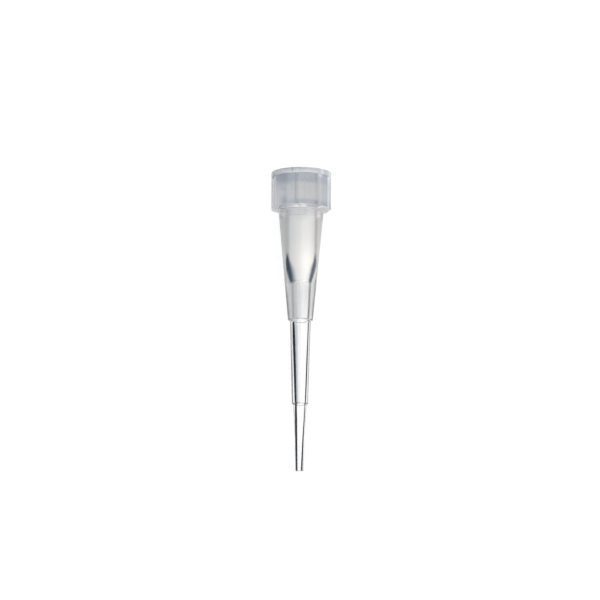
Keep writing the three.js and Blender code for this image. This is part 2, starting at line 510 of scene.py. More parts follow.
def marks_of(tree, cloud_scale, cloud_amount, streak_scale, streak_amount):
    """The shared marks, with clouds and streaks of that scale and amount."""
    marks = tree.nodes.new("ShaderNodeGroup")
    marks.node_tree = wall_marks
    feed(marks.inputs["Cloud Scale"], cloud_scale)
    feed(marks.inputs["Cloud Amount"], cloud_amount)
    feed(marks.inputs["Streak Scale"], streak_scale)
    feed(marks.inputs["Streak Amount"], streak_amount)
    return marks.outputs


def grey(level):
    """A grey colour."""
    return (level, level, level)


def along_the_tip(height, stops):
    """A colour or a strength that changes with height. Each stop is a height and what holds there."""
    lowest, highest = stops[0][0], stops[-1][0]
    nodes = height.id_data.nodes
    place = nodes.new("ShaderNodeMapRange")
    feed(place.inputs["Value"], height)
    feed(place.inputs["From Min"], lowest)
    feed(place.inputs["From Max"], highest)
    ramp = nodes.new("ShaderNodeValToRGB")
    feed(ramp.inputs["Fac"], place.outputs["Result"])
    marks = ramp.color_ramp.elements
    marks.remove(marks[-1])
    for number, (level, value) in enumerate(stops):
        mark = marks[0] if number == 0 else marks.new((level - lowest) / (highest - lowest))
        mark.color = (*value, 1) if isinstance(value, tuple) else (*grey(value), 1)
    return ramp.outputs["Color"]


def blended(how, share, first, second):
    """A colour mixed from two, by the share of the second."""
    mix = tree_of(share, first, second).nodes.new("ShaderNodeMix")
    mix.data_type = "RGBA"
    mix.blend_type = how
    for name, value in (("Factor_Float", share), ("A_Color", first), ("B_Color", second)):
        feed(next(s for s in mix.inputs if s.identifier == name), value)
    return next(s for s in mix.outputs if s.identifier == "Result_Color")


def touched_up(tint, how, color, *shares):
    """The tint with a colour mixed in, or multiplied in, where all the shares meet."""
    return blended(how, product(*shares), tint, color)


POLYPROPYLENE_IOR = 1.49
LIGHT_THROUGH = (0.86, 0.87, 0.88)
# Painted shade for the dark edges that the plastic shows where it is met nearly edge-on.
EDGE_SHADE = (0.10, 0.11, 0.12)


def start_finish(name, clear_share):
    """A new plastic's slot on the tip, its node tree and its shader. Its clear_share lets light through."""
    material = bpy.data.materials.new(name)
    material.use_nodes = True
    tip.data.materials.append(material)
    plastic = material.node_tree.nodes["Principled BSDF"]
    plastic.inputs["IOR"].default_value = POLYPROPYLENE_IOR
    plastic.inputs["Transmission Weight"].default_value = clear_share
    return len(tip.data.materials) - 1, material.node_tree, plastic


def edge_on(tree, start, full):
    """How nearly edge-on the surface is met: none up to start, and all from full on."""
    return share_between(tree.nodes.new("ShaderNodeLayerWeight").outputs["Facing"], start, full)


def met_from(tree, medium):
    """One where the surface is met from that side: from the air, or from inside the plastic."""
    inside = tree.nodes.new("ShaderNodeNewGeometry").outputs["Backfacing"]
    return inside if medium == "plastic" else calculated("SUBTRACT", 1, inside)


def finish_off(shader, dark_share, dark_color):
    """Lays painted dark edges over the shader, and lets the lamps' light through the plastic."""
    tree = shader.id_data
    edged = mixed(dark_share, shader, coloured(tree, "ShaderNodeBsdfDiffuse", dark_color))
    rays = tree.nodes.new("ShaderNodeLightPath").outputs
    lamp_light = coloured(tree, "ShaderNodeBsdfTransparent", LIGHT_THROUGH)
    feed(tree.nodes["Material Output"].inputs["Surface"], mixed(rays["Is Shadow Ray"], edged, lamp_light))


# Collar: matte flats, bluish and denser by the mouth and by the foot, under a paler matte band. Its
# underside, the ring round the body that faces the point, is smoother, and its pale tint is painted light.
COLLAR_ROUGHNESS = 0.22
UNDERSIDE_ROUGHNESS = 0.08
COLLAR_CLEAR_SHARE = 0.6
COLLAR_EDGE = (0.6, 1.0)
COLLAR_EDGE_SHARE = 0.15

COLLAR_PALE = (0.475, 0.48, 0.482)
COLLAR_DENSE = (0.29, 0.325, 0.37)
BAND_PALE = (0.68, 0.69, 0.70)
# Bluer copies of the collar's tints, painted for the cool light on its left.
COOL_LIT_PALE = (0.505, 0.52, 0.545)
COOL_LIT_DENSE = (0.315, 0.355, 0.41)
COOL_LIT_FOOT = (0.42, 0.46, 0.515)
COOL_LIT_BAND = (0.62, 0.64, 0.66)
BLOTCH_BLUE = (0.24, 0.29, 0.36)

FOOT_LINE = COLLAR_FOOT_HEIGHT + 0.00003
FLATS_START = COLLAR_FOOT_HEIGHT + 0.00007
COLLAR_ROUGHNESSES = (
    (COLLAR_FOOT_HEIGHT - FOOT_FILLET, UNDERSIDE_ROUGHNESS),
    (FOOT_LINE, UNDERSIDE_ROUGHNESS),
    (COLLAR_FOOT_HEIGHT + 0.0001, COLLAR_ROUGHNESS),
    (OVERALL_LENGTH, COLLAR_ROUGHNESS),
)
# The underside's pale tint is painted light.
UNDERSIDE_LIT_PALE = (0.72, 0.72, 0.725)
COLLAR_TINTS = (
    (COLLAR_FOOT_HEIGHT - FOOT_FILLET, UNDERSIDE_LIT_PALE),
    (FOOT_LINE, UNDERSIDE_LIT_PALE),
    (FLATS_START, COLLAR_DENSE),
    (COLLAR_FOOT_HEIGHT + 0.0004, COLLAR_DENSE),
    (COLLAR_FOOT_HEIGHT + 0.0008, COLLAR_PALE),
    (BAND_FOOT_HEIGHT - 0.0013, COLLAR_PALE),
    (BAND_FOOT_HEIGHT - 0.0008, COLLAR_DENSE),
    (BAND_FOOT_HEIGHT - 0.00003, COLLAR_DENSE),
    (BAND_FOOT_HEIGHT + 0.00003, BAND_PALE),
    (OVERALL_LENGTH, BAND_PALE),
)
COOL_LIT_LEFT_TINTS = (
    (FOOT_LINE, (0.62, 0.63, 0.64)),
    (FLATS_START, COOL_LIT_FOOT),
    (COLLAR_FOOT_HEIGHT + 0.0004, COOL_LIT_FOOT),
    (COLLAR_FOOT_HEIGHT + 0.0008, COOL_LIT_PALE),
    (BAND_FOOT_HEIGHT - 0.0013, COOL_LIT_PALE),
    (BAND_FOOT_HEIGHT - 0.0007, COOL_LIT_DENSE),
    (BAND_FOOT_HEIGHT - 0.00003, COOL_LIT_DENSE),
    (BAND_FOOT_HEIGHT + 0.00003, COOL_LIT_BAND),
    (OVERALL_LENGTH, COOL_LIT_BAND),
)

collar_slot, tree, plastic = start_finish("frosted_collar", COLLAR_CLEAR_SHARE)
marks = marks_of(tree, cloud_scale=700, cloud_amount=0.22, streak_scale=4000, streak_amount=0.12)
height, rightness, clouding = marks["Height"], marks["Rightness"], marks["Clouding"]
feed(plastic.inputs["Roughness"], along_the_tip(height, COLLAR_ROUGHNESSES))
tint = along_the_tip(height, COLLAR_TINTS)

# The underside has a painted highlight in its middle, a little left of the top, painted light further left,
# and painted shade on its right and towards its sides. Of each pair of limits here and below, a mark shows
# nothing at the first, and shows in full at the second. A spread's limits are distances from the mark's
# place.
UNDERSIDE_HEIGHTS = (COLLAR_FOOT_HEIGHT + 0.00005, FOOT_LINE)
UNDERSIDE_HIGHLIGHT_PLACE = -0.13
HIGHLIGHT_SPREAD = (0.13, 0.08)
SIDES_SPREAD = (0.45, 0.75)
UNDERSIDE_LEFT = (-0.30, -0.42)
UNDERSIDE_LEFT_STOPS = (-0.85, -0.70)
UNDERSIDE_LEFT_END = (-0.90, -0.95)
UNDERSIDE_RIGHT = (-0.03, 0.05)
UNDERSIDE_SIDE_SHADE = (0.42, 0.43, 0.44)
UNDERSIDE_LEFT_LIGHT = grey(0.98)
UNDERSIDE_RIGHT_SHADE = (0.56, 0.565, 0.57)
TOP_FLAT_SPREAD = (0.40, 0.36)
TOP_FLAT_SHADE = grey(0.90)
TOWARDS_THE_LEFT = (-0.2, -0.75)

at_foot = share_between(height, *UNDERSIDE_HEIGHTS)
# Painted shade towards the underside's sides.
sides = near(rightness, UNDERSIDE_HIGHLIGHT_PLACE, *SIDES_SPREAD)
tint = touched_up(tint, "MIX", UNDERSIDE_SIDE_SHADE, sides, at_foot)
# Painted light left of the underside's middle.
to_the_left = share_between(rightness, *UNDERSIDE_LEFT)
left_stops = share_between(rightness, *UNDERSIDE_LEFT_STOPS)
tint = touched_up(tint, "MIX", UNDERSIDE_LEFT_LIGHT, to_the_left, at_foot, left_stops)
# Painted shade on the underside's right.
to_the_right = share_between(rightness, *UNDERSIDE_RIGHT)
tint = touched_up(tint, "MIX", UNDERSIDE_RIGHT_SHADE, to_the_right, at_foot)
# The painted highlight in the underside's middle.
tint = touched_up(tint, "MIX", WHITE, near(rightness, UNDERSIDE_HIGHLIGHT_PLACE, *HIGHLIGHT_SPREAD), at_foot)
# Painted shade over the top flat and the flat opposite it.
tint = touched_up(tint, "MULTIPLY", TOP_FLAT_SHADE, near(rightness, 0, *TOP_FLAT_SPREAD))
# On the far left, the bluer copies painted for the cool light there.
far_left = share_between(rightness, *TOWARDS_THE_LEFT)
tint = touched_up(tint, "MIX", along_the_tip(height, COOL_LIT_LEFT_TINTS), far_left)
# Painted shade again at the underside's far left end.
left_end = share_between(rightness, *UNDERSIDE_LEFT_END)
tint = touched_up(tint, "MIX", UNDERSIDE_SIDE_SHADE, left_end, at_foot)
tint = blended("MULTIPLY", 1.0, tint, clouding)

# The flats: bluer on the right, with clouds that gather into blotches and one denser patch on the left.
RIGHT_FLATS = (0.36, 0.40)
RIGHT_BLUE = (0.58, 0.63, 0.75)
RIGHT_BLUE_SHARE = 0.35
BLOTCH_CLOUDING = (1.01, 0.94)
BLOTCH_SHARE = 0.3
PATCH_PLACE = -0.80
PATCH_SPREAD = (0.17, 0.0)
PATCH_STRENGTHS = (
    (COLLAR_FOOT_HEIGHT + 0.0001, 0.25),
    (COLLAR_FOOT_HEIGHT + 0.0004, 0.75),
    (COLLAR_FOOT_HEIGHT + 0.0008, 0.65),
    (COLLAR_FOOT_HEIGHT + 0.0012, 0.05),
    (COLLAR_FOOT_HEIGHT + 0.0016, 0.05),
    (COLLAR_FOOT_HEIGHT + 0.0019, 0.35),
    (COLLAR_FOOT_HEIGHT + 0.0022, 0.05),
    (BAND_FOOT_HEIGHT - 0.0011, 0.05),
    (BAND_FOOT_HEIGHT - 0.0007, 0.35),
    (BAND_FOOT_HEIGHT - 0.0001, 0.3),
    (BAND_FOOT_HEIGHT, 0),
)
SHARP_EDGE = 0.00004

off_the_foot = share_between(at_foot, 1, 0)
on_right_flats = share_between(rightness, *RIGHT_FLATS)
tint = touched_up(tint, "MIX", RIGHT_BLUE, on_right_flats, RIGHT_BLUE_SHARE, off_the_foot)
off_the_underside = share_between(height, COLLAR_FOOT_HEIGHT, COLLAR_FOOT_HEIGHT + SHARP_EDGE)
below_band = share_between(height, BAND_FOOT_HEIGHT, BAND_FOOT_HEIGHT - SHARP_EDGE)
on_flats = product(below_band, off_the_underside)
blotch = share_between(clouding, *BLOTCH_CLOUDING)
tint = touched_up(tint, "MIX", BLOTCH_BLUE, blotch, far_left, on_flats, BLOTCH_SHARE)
patch = near(rightness, PATCH_PLACE, *PATCH_SPREAD)
tint = touched_up(tint, "MIX", BLOTCH_BLUE, patch, along_the_tip(height, PATCH_STRENGTHS))

# The sides, all painted light and shade: a pale wash and a dark strip on the far left, a darker rim on the
# left of the band, and on the right a pale side with a highlight line where it starts.
FAR_LEFT_WASH = (-0.72, -0.94)
LEFT_LIGHT_WASH = (0.70, 0.72, 0.75)
WASH_STRENGTHS = (
    (COLLAR_FOOT_HEIGHT + 0.00005, 0.8),
    (COLLAR_FOOT_HEIGHT + 0.0009, 0.75),
    (COLLAR_FOOT_HEIGHT + 0.0016, 0.6),
    (BAND_FOOT_HEIGHT - 0.0013, 0.4),
    (BAND_FOOT_HEIGHT - 0.0006, 0.15),
    (BAND_FOOT_HEIGHT - 0.0002, 0),
)
RIM_HEIGHTS = (OVERALL_LENGTH - 0.00012, OVERALL_LENGTH - 0.00006)
RIM_LEFT = (-0.2, -0.3)
RIM_SHADE = (0.58, 0.62, 0.68)
RIGHT_SIDE = (0.78, 0.82)
RIGHT_SIDE_LIGHT = (0.90, 0.91, 0.92)
RIGHT_SIDE_STRENGTHS = (
    (COLLAR_FOOT_HEIGHT, 0.2),
    (COLLAR_FOOT_HEIGHT + 0.0003, 0.4),
    (COLLAR_FOOT_HEIGHT + 0.0020, 0.6),
    (BAND_FOOT_HEIGHT, 0.95),
)
HIGHLIGHT_LINE_PLACE = 0.825
HIGHLIGHT_LINE_SPREAD = (0.035, 0.015)
HIGHLIGHT_LINE_SHARE = 0.7
LEFT_STRIP = (-0.948, -0.966)
LEFT_STRIP_SHADE = (0.50, 0.515, 0.535)

# Painted light: a pale wash on the far left.
wash = share_between(rightness, *FAR_LEFT_WASH)
wash_strength = along_the_tip(height, WASH_STRENGTHS)
tint = touched_up(tint, "MIX", LEFT_LIGHT_WASH, wash, wash_strength, off_the_underside)
# Painted shade on the left of the band.
rim, rim_left = share_between(height, *RIM_HEIGHTS), share_between(rightness, *RIM_LEFT)
tint = touched_up(tint, "MULTIPLY", RIM_SHADE, rim, rim_left)
# Painted light down the right side, with a painted highlight line where it starts.
right_strength = along_the_tip(height, RIGHT_SIDE_STRENGTHS)
tint = touched_up(tint, "MIX", RIGHT_SIDE_LIGHT, share_between(rightness, *RIGHT_SIDE), right_strength)
highlight_line = near(rightness, HIGHLIGHT_LINE_PLACE, *HIGHLIGHT_LINE_SPREAD)
tint = touched_up(tint, "MIX", WHITE, highlight_line, on_flats, HIGHLIGHT_LINE_SHARE)
# Painted shade in a strip at the far left.
left_strip = share_between(rightness, *LEFT_STRIP)
tint = touched_up(tint, "MIX", LEFT_STRIP_SHADE, left_strip, off_the_underside)

# The fine marks: painted highlights on the corner lands, fading out to the left, painted glints under the
# band, in it and at the foot, a faint seam down the top flat, a painted dark reflection along each land,
# and a tick on the band.
LAND_HIGHLIGHT_SHARE = 0.6
GLINT_PLACE = 0.44
GLINT_SPREAD = (0.12, 0.05)
GLINT_TINT = (0.95, 0.96, 0.97)
GLINT_STRENGTHS = (
    (BAND_FOOT_HEIGHT - 0.0005, 0),
    (BAND_FOOT_HEIGHT - 0.0001, 0.6),
    (BAND_FOOT_HEIGHT, 0),
)
FOOT_GLINT_PLACE = 0.61
FOOT_GLINT_SPREAD = (0.11, 0.03)
FOOT_GLINT_TINT = (0.92, 0.93, 0.94)
BAND_GLINT_PLACE = 0.50
BAND_GLINT_SPREAD = (0.09, 0.02)
BAND_GLINT_TINT = grey(0.98)
SEAM_PLACE = -0.127
SEAM_SPREAD = (0.014, 0.004)
SEAM_SHADE = grey(0.86)
LINES_END = (-0.98, -0.80)
LINE_SHARE = 0.4
LINE_SHARE_ON_THE_LEFT = 0.45
DARK_REFLECTION_BLUE = (0.16, 0.19, 0.24)
TICK_PLACE = -0.518
TICK_SPREAD = (0.035, 0.015)
TICK_HEIGHTS = (BAND_FOOT_HEIGHT, BAND_FOOT_HEIGHT + 0.0001)
TICK_SHADE = (0.64, 0.66, 0.69)

# Painted highlights on the corner lands, fading out to the left.
land_highlight_share = calculated("SUBTRACT", LAND_HIGHLIGHT_SHARE, product(marks["Left"], LAND_HIGHLIGHT_SHARE))
tint = touched_up(tint, "MIX", BAND_PALE, marks["Corner Land"], on_flats, land_highlight_share)
# Painted glints under the band, at the foot and in the band.
glint = near(rightness, GLINT_PLACE, *GLINT_SPREAD)
tint = touched_up(tint, "MIX", GLINT_TINT, glint, along_the_tip(height, GLINT_STRENGTHS))
foot_glint = near(rightness, FOOT_GLINT_PLACE, *FOOT_GLINT_SPREAD)
tint = touched_up(tint, "MIX", FOOT_GLINT_TINT, foot_glint, at_foot)
in_band = share_between(height, BAND_FOOT_HEIGHT, BAND_FOOT_HEIGHT + SHARP_EDGE)
band_glint = near(rightness, BAND_GLINT_PLACE, *BAND_GLINT_SPREAD)
tint = touched_up(tint, "MIX", BAND_GLINT_TINT, band_glint, in_band)
tint = touched_up(tint, "MULTIPLY", SEAM_SHADE, near(rightness, SEAM_PLACE, *SEAM_SPREAD), on_flats)
# A painted dark reflection along each land, stronger on the left.
line_share = calculated("ADD", product(marks["Left"], LINE_SHARE_ON_THE_LEFT), LINE_SHARE)
lines_end = share_between(rightness, *LINES_END)
tint = touched_up(tint, "MIX", DARK_REFLECTION_BLUE, marks["Corner Line"], on_flats, lines_end, line_share)
tick = near(rightness, TICK_PLACE, *TICK_SPREAD)
tint = touched_up(tint, "MULTIPLY", TICK_SHADE, tick, share_between(height, *TICK_HEIGHTS))
feed(plastic.inputs["Base Color"], tint)
# Painted shade darkens the collar where it is met nearly edge-on.
finish_off(plastic.outputs[0], product(edge_on(tree, *COLLAR_EDGE), COLLAR_EDGE_SHARE), EDGE_SHADE)

# Body: nearly smooth, with a light haze that is warm round the funnel, and painted shade, cool and grey,
# on the left. The walls at its two sides carry painted light beside the seat, and its painted dark outlines
# strengthen towards the shoulder.
BODY_ROUGHNESS = 0.15
BODY_CLEAR_SHARE = 0.97
BODY_GLOSS = (0.45, 0.55, 0.68)
BODY_TINTS = (
    (STEM_TOP_HEIGHT + 0.0001, (0.97, 0.97, 0.96)),
    (STEM_TOP_HEIGHT + 0.0002, (0.88, 0.875, 0.865)),
    (0.0194, (0.80, 0.795, 0.79)),
    (FUNNEL_FOOT_HEIGHT - 0.0003, (0.72, 0.715, 0.71)),
    (FUNNEL_FOOT_HEIGHT, (0.83, 0.82, 0.80)),
    (FUNNEL_FOOT_HEIGHT + 0.0012, (0.93, 0.90, 0.855)),
    (FUNNEL_FOOT_HEIGHT + 0.0022, (0.93, 0.915, 0.88)),
    (SEAT_FOOT_HEIGHT - 0.0002, (0.85, 0.835, 0.81)),
    (SEAT_FOOT_HEIGHT + 0.0010, (0.76, 0.755, 0.74)),
    (SEAT_FOOT_HEIGHT + 0.0030, (0.73, 0.725, 0.715)),
    (COLLAR_FOOT_HEIGHT, (0.72, 0.715, 0.71)),
)
SHADED_LEFT = (0.3, -0.6)
LEFT_SHADE_SHARE = 0.9
LEFT_HAZE_SHADE = (0.56, 0.57, 0.58)
RIGHT_WALL = (0.80, 0.97)
RIGHT_WALL_SHARE = 0.7
RIGHT_WALL_LIGHT = (0.96, 0.955, 1.0)
LEFT_WALL = (-0.93, -0.99)
LEFT_WALL_SHARE = 0.25
LEFT_WALL_LIGHT = (0.97, 0.96, 0.95)
BODY_EDGE = (0.3, 0.65)
BODY_EDGE_STRENGTHS = (
    (STEM_TOP_HEIGHT + 0.0002, 0),
    (STEM_TOP_HEIGHT + 0.0004, 0.45),
    (FUNNEL_FOOT_HEIGHT, 0.40),
    (FUNNEL_FOOT_HEIGHT + 0.0006, 0.20),
    (SEAT_FOOT_HEIGHT, 0.08),
    (COLLAR_FOOT_HEIGHT, 0.06),
)

body_slot, tree, plastic = start_finish("hazy_body", BODY_CLEAR_SHARE)
feed(plastic.inputs["Roughness"], BODY_ROUGHNESS)
feed(plastic.inputs["Specular Tint"], BODY_GLOSS)
marks = marks_of(tree, cloud_scale=500, cloud_amount=0.1, streak_scale=3000, streak_amount=0.06)
height, rightness = marks["Height"], marks["Rightness"]
tint = along_the_tip(height, BODY_TINTS)
# Painted shade, cool and grey, on the left.
tint = touched_up(tint, "MIX", LEFT_HAZE_SHADE, share_between(rightness, *SHADED_LEFT), LEFT_SHADE_SHARE)
# Painted light on the walls at the two sides, beside the seat.
beside_seat = share_between(height, FUNNEL_FOOT_HEIGHT, SEAT_FOOT_HEIGHT)
right_wall = share_between(rightness, *RIGHT_WALL)
tint = touched_up(tint, "MIX", RIGHT_WALL_LIGHT, right_wall, beside_seat, RIGHT_WALL_SHARE)
left_wall = share_between(rightness, *LEFT_WALL)
tint = touched_up(tint, "MIX", LEFT_WALL_LIGHT, left_wall, beside_seat, LEFT_WALL_SHARE)
feed(plastic.inputs["Base Color"], blended("MULTIPLY", 1.0, tint, marks["Clouding"]))
# Painted dark outlines, strongest towards the shoulder.
outer_edge = product(edge_on(tree, *BODY_EDGE), along_the_tip(height, BODY_EDGE_STRENGTHS))
finish_off(plastic.outputs[0], outer_edge, EDGE_SHADE)

# Stem and point: polished outside and almost clear. A painted dark line shows just inside the outline,
# faintly on the right and more strongly on the left.
STEM_ROUGHNESS = 0.03
STEM_GLOSS = (0.5, 0.51, 0.53)
STEM_TINT = (0.97, 0.975, 0.98)
STEM_EDGE_RISE = (0.38, 0.48)
STEM_EDGE_FALL = (0.60, 0.72)
LEFT_EDGE_STRENGTHS = (
    (0, 1),
    (0.0024, 0.9),
    (POINT_EASE_HEIGHT, 0.35),
    (0.0057, 0.05),
    (POINT_TOP_HEIGHT - 0.0001, 0),
    (POINT_TOP_HEIGHT, 0.75),
    (0.0115, 0.75),
    (0.0145, 0.35),
    (STEM_TOP_HEIGHT, 0.25),
)
RIGHT_EDGE_STRENGTHS = (
    (POINT_TOP_HEIGHT - 0.0001, 0),
    (POINT_TOP_HEIGHT, 0.25),
    (0.0115, 0.05),
)

stem_slot, tree, plastic = start_finish("clear_stem", clear_share=1.0)
feed(plastic.inputs["Roughness"], STEM_ROUGHNESS)
feed(plastic.inputs["Specular Tint"], STEM_GLOSS)
marks = marks_of(tree, cloud_scale=900, cloud_amount=0.04, streak_scale=5000, streak_amount=0.04)
feed(plastic.inputs["Base Color"], blended("MULTIPLY", 1.0, STEM_TINT, marks["Clouding"]))
# The painted dark line just inside the outline.
edge_line = calculated("SUBTRACT", edge_on(tree, *STEM_EDGE_RISE), edge_on(tree, *STEM_EDGE_FALL))
left_edge = along_the_tip(marks["Height"], LEFT_EDGE_STRENGTHS)
right_edge = along_the_tip(marks["Height"], RIGHT_EDGE_STRENGTHS)
edge_strength = blended("MIX", marks["Left"], right_edge, left_edge)
finish_off(plastic.outputs[0], product(edge_line, met_from(tree, "air"), edge_strength), EDGE_SHADE)

# Bore: matte in the mouth and the seat, so that the pipette's nose lets go again, and polished by the
# core pin below. Its wall carries painted shade on the left, most where it is turned away, but not right
# at its side.
BORE_ROUGHNESSES = (
    (0, 0.02),
    (STEM_TOP_HEIGHT, 0.03),
    (FUNNEL_FOOT_HEIGHT - 0.0006, 0.05),
    (FUNNEL_FOOT_HEIGHT, 0.25),
    (SEAT_FOOT_HEIGHT - 0.001, 0.45),
    (LEDGE_HEIGHT - 0.0010, 0.45),
    (LEDGE_HEIGHT - 0.0007, 0.12),
    (LEDGE_HEIGHT + 0.0001, 0.12),
    (LEDGE_HEIGHT + 0.0003, 0.40),
    (OVERALL_LENGTH, 0.45),
)
SHADE_TINTS = (
    (POINT_TOP_HEIGHT - 0.0001, (0.90, 0.90, 0.91)),
    (POINT_TOP_HEIGHT + 0.0001, (0.32, 0.37, 0.43)),
    (STEM_TOP_HEIGHT - 0.0005, (0.40, 0.44, 0.49)),
    (STEM_TOP_HEIGHT - 0.0001, (0.80, 0.81, 0.82)),
    (STEM_TOP_HEIGHT + 0.0002, (0.58, 0.59, 0.60)),
    (FUNNEL_FOOT_HEIGHT, (0.63, 0.635, 0.645)),
    (SEAT_FOOT_HEIGHT, (0.80, 0.81, 0.82)),
)
BORE_TINT = grey(0.98)
FULL_SHADE_TURN = 0.17
SHADE_CURVE = 0.55
OFF_THE_SIDE = (0.2, 0.5)

bore_slot, tree, plastic = start_finish("bore_wall", clear_share=1.0)
marks = marks_of(tree, cloud_scale=500, cloud_amount=0.10, streak_scale=3500, streak_amount=0.06)
height, left, upness = marks["Height"], marks["Left"], marks["Upness"]
feed(plastic.inputs["Roughness"], along_the_tip(height, BORE_ROUGHNESSES))
facing = tree.nodes.new("ShaderNodeLayerWeight").outputs["Facing"]
turned_away = calculated("POWER", calculated("DIVIDE", facing, FULL_SHADE_TURN), SHADE_CURVE)
well_left = calculated("POWER", left, 2)
off_the_side = share_between(calculated("ABSOLUTE", upness), *OFF_THE_SIDE)
# Painted shade on the bore's left.
inner_shade = product(calculated("MINIMUM", turned_away, 1), well_left, off_the_side)
tint = blended("MIX", inner_shade, BORE_TINT, along_the_tip(height, SHADE_TINTS))
tint = blended("MULTIPLY", 1.0, tint, marks["Clouding"])

# Above the shoulder the bore also scatters light, as milk does, and most of all in the seat and the mouth.
# The vent groove shows by painted shade along its two edges, and the shoulder's height by a fine line
# of painted shade.
MILK_TINTS = (
    (STEM_TOP_HEIGHT, grey(0.84)),
    (FUNNEL_FOOT_HEIGHT, (0.92, 0.91, 0.90)),
    (SEAT_FOOT_HEIGHT - 0.0008, (0.97, 0.955, 0.93)),
    (SEAT_FOOT_HEIGHT + 0.001, (0.90, 0.885, 0.865)),
    (LEDGE_HEIGHT, (0.80, 0.79, 0.785)),
    (OVERALL_LENGTH, (0.70, 0.705, 0.71)),
)
# The milk's side tints: painted light on the left and painted shade on the right.
MILK_SHADED_RIGHT = (0.93, 0.925, 0.92)
MILK_LIT_LEFT = grey(1.02)
MILK_SHARES = (
    (STEM_TOP_HEIGHT, 0),
    (STEM_TOP_HEIGHT + 0.0002, 0.25),
    (FUNNEL_FOOT_HEIGHT - 0.0001, 0.25),
    (SEAT_FOOT_HEIGHT - 0.0011, 0.4),
    (SEAT_FOOT_HEIGHT + 0.0004, 0.6),
    (LEDGE_HEIGHT - 0.0012, 0.6),
    (LEDGE_HEIGHT - 0.0004, 0.35),
    (LEDGE_HEIGHT, 0.35),
    (LEDGE_HEIGHT + 0.0003, 0.62),
    (OVERALL_LENGTH, 0.65),
)
MOUTH_START = (LEDGE_HEIGHT, LEDGE_HEIGHT + 0.00002)
VENT_SHADE = (0.25, 0.25, 0.26)
SHOULDER_LINE_SPREAD = (0.00007, 0.00003)
SHOULDER_SHADE = (0.72, 0.72, 0.73)

# Painted light on the milk's left and painted shade on its right.
by_side = blended("MIX", left, MILK_SHADED_RIGHT, MILK_LIT_LEFT)
milk_tint = blended("MULTIPLY", 1.0, along_the_tip(height, MILK_TINTS), by_side)
# Painted shade along the vent groove's two edges.
vent_edge = product(marks["Vent Edge"], share_between(height, *MOUTH_START))
milk_tint = touched_up(milk_tint, "MULTIPLY", VENT_SHADE, vent_edge)
milk = coloured(tree, "ShaderNodeBsdfDiffuse", blended("MULTIPLY", 1.0, milk_tint, marks["Clouding"]))
tint = touched_up(tint, "MULTIPLY", VENT_SHADE, vent_edge)
# A fine line of painted shade at the shoulder's height.
shoulder_line = near(height, STEM_TOP_HEIGHT, *SHOULDER_LINE_SPREAD)
tint = touched_up(tint, "MULTIPLY", SHOULDER_SHADE, shoulder_line, met_from(tree, "air"))
feed(plastic.inputs["Base Color"], tint)
clouded = mixed(along_the_tip(height, MILK_SHARES), plastic.outputs[0], milk)

# Just past the angle at which the bore's wall stops letting light out, a dark line of painted shade is
# laid on it. A stop is a height, and how nearly edge-on the wall is met where the line starts, is full
# and starts to end.
LEFT_LINE = (
    (0, (0.17, 0.22, 1.0)),
    (0.0011, (0.15, 0.20, 1.0)),
    (POINT_EASE_HEIGHT, (0.11, 0.155, 0.60)),
    (0.0057, (0.09, 0.13, 0.41)),
    (POINT_TOP_HEIGHT - 0.0001, (0.10, 0.135, 0.29)),
    (POINT_TOP_HEIGHT + 0.0001, (0.11, 0.145, 0.33)),
    (0.0102, (0.115, 0.145, 0.335)),
    (0.0125, (0.125, 0.155, 0.34)),
    (0.0148, (0.135, 0.165, 0.355)),
    (STEM_TOP_HEIGHT - 0.0001, (0.165, 0.195, 0.325)),
    (STEM_TOP_HEIGHT + 0.0001, (0.17, 0.205, 0.35)),
    (FUNNEL_FOOT_HEIGHT - 0.0001, (0.17, 0.205, 0.35)),
    (FUNNEL_FOOT_HEIGHT + 0.0001, (0.0, 0.22, 0.42)),
    (FUNNEL_FOOT_HEIGHT + 0.0015, (0.035, 0.24, 0.44)),
    (FUNNEL_FOOT_HEIGHT + 0.0024, (0.13, 0.235, 0.335)),
    (SEAT_FOOT_HEIGHT - 0.0004, (0.155, 0.235, 0.275)),
    (SEAT_FOOT_HEIGHT + 0.0004, (0.14, 0.21, 0.24)),
    (LEDGE_HEIGHT, (0.13, 0.20, 0.26)),
)
RIGHT_LINE = (
    (0, (0.06, 0.09, 0.50)),
    (0.0011, (0.09, 0.12, 0.46)),
    (POINT_EASE_HEIGHT, (0.15, 0.185, 0.39)),
    (0.0057, (0.215, 0.245, 0.40)),
    (POINT_TOP_HEIGHT - 0.0001, (0.24, 0.27, 0.32)),
    (POINT_TOP_HEIGHT + 0.0001, (0.275, 0.305, 0.455)),
    (0.0102, (0.27, 0.30, 0.455)),
    (0.0125, (0.265, 0.295, 0.43)),
    (0.0148, (0.285, 0.315, 0.40)),
    (STEM_TOP_HEIGHT - 0.0001, (0.28, 0.31, 0.375)),
    (STEM_TOP_HEIGHT + 0.0001, (0.235, 0.265, 0.41)),
    (FUNNEL_FOOT_HEIGHT - 0.0001, (0.24, 0.28, 0.44)),
    (FUNNEL_FOOT_HEIGHT + 0.0001, (0.12, 0.27, 0.42)),
    (FUNNEL_FOOT_HEIGHT + 0.0015, (0.125, 0.28, 0.45)),
    (FUNNEL_FOOT_HEIGHT + 0.0024, (0.19, 0.28, 0.38)),
    (SEAT_FOOT_HEIGHT - 0.0004, (0.21, 0.26, 0.32)),
    (LEDGE_HEIGHT, (0.185, 0.235, 0.30)),
)
